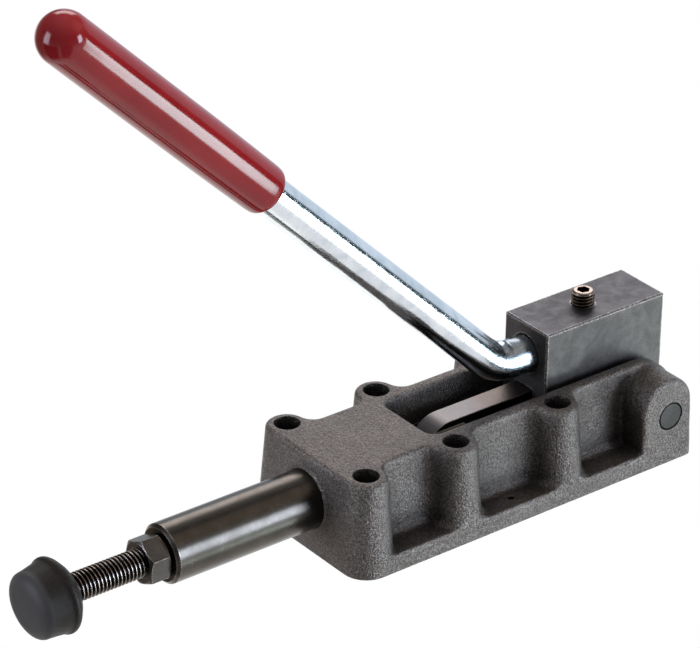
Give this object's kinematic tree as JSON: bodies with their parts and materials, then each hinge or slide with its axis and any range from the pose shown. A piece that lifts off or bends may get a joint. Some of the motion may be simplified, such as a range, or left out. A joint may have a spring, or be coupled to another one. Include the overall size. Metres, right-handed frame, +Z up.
{
  "type": "push-pull toggle clamp",
  "caption": "Heavy push-pull toggle clamp: cast bolt-down body, sliding plunger with rubber-capped pressure screw, lever block and bent handle.",
  "frame": {"origin": "centre of the front four mounting holes, on the mounting plane", "axes": "+X runs back along the plunger line, from the pressure cap to the handle pivot; +Y runs across the body, away from the pictured side; +Z points up from the mounting plane"},
  "size_m": [0.3109, 0.075, 0.2616],
  "materials": {
    "casting": "rough sand casting, dark phosphate",
    "plunger_steel": "burnished dark, semi-gloss",
    "block_steel": "satin, dark",
    "link_steel": "ground",
    "pin_steel": "satin",
    "black_steel": "black oxide",
    "bar_zinc": "bright zinc plate",
    "grip_vinyl": "glossy dipped vinyl",
    "cap_rubber": "matte"
  },
  "bodies": {
    "frame": {"body_casting": "casting", "pivot_pin": "pin_steel"},
    "lever": {"lever_block": "block_steel", "lever_pin": "pin_steel", "handle_bar": "bar_zinc", "handle_grip": "grip_vinyl", "set_screw": "black_steel"},
    "link": {"toggle_link": "link_steel", "clevis_pin_core": "pin_steel"},
    "ram": {"plunger": "plunger_steel", "clevis_pin_ends": "pin_steel", "lock_nut": "black_steel"},
    "screw": {"pressure_screw": "black_steel", "rubber_cap": "cap_rubber"}
  },
  "joints": [
    {"name": "lever_hinge", "type": "hinge", "parent": "frame", "child": "lever", "pos_m": [0.1285, 0, 0.022], "axis": [0, 1, 0], "range_deg": [0, 96]},
    {"name": "plunger_slide", "type": "slide", "parent": "frame", "child": "ram", "axis": [1, 0, 0], "range_m": [0, 0.0496]},
    {"name": "link_hinge", "type": "hinge", "parent": "lever", "child": "link", "pos_m": [0.094, 0, 0.022], "axis": [0, 1, 0], "range_deg": [-133.1, 0]},
    {"name": "screw_adjust", "type": "slide", "parent": "ram", "child": "screw", "axis": [1, 0, 0], "range_m": [-0.012, 0.02]}
  ],
  "couplings": [
    {"joint": "plunger_slide", "follows": "lever_hinge", "m_per_rad": 0.029596},
    {"joint": "link_hinge", "follows": "lever_hinge", "ratio": -1.3855}
  ]
}
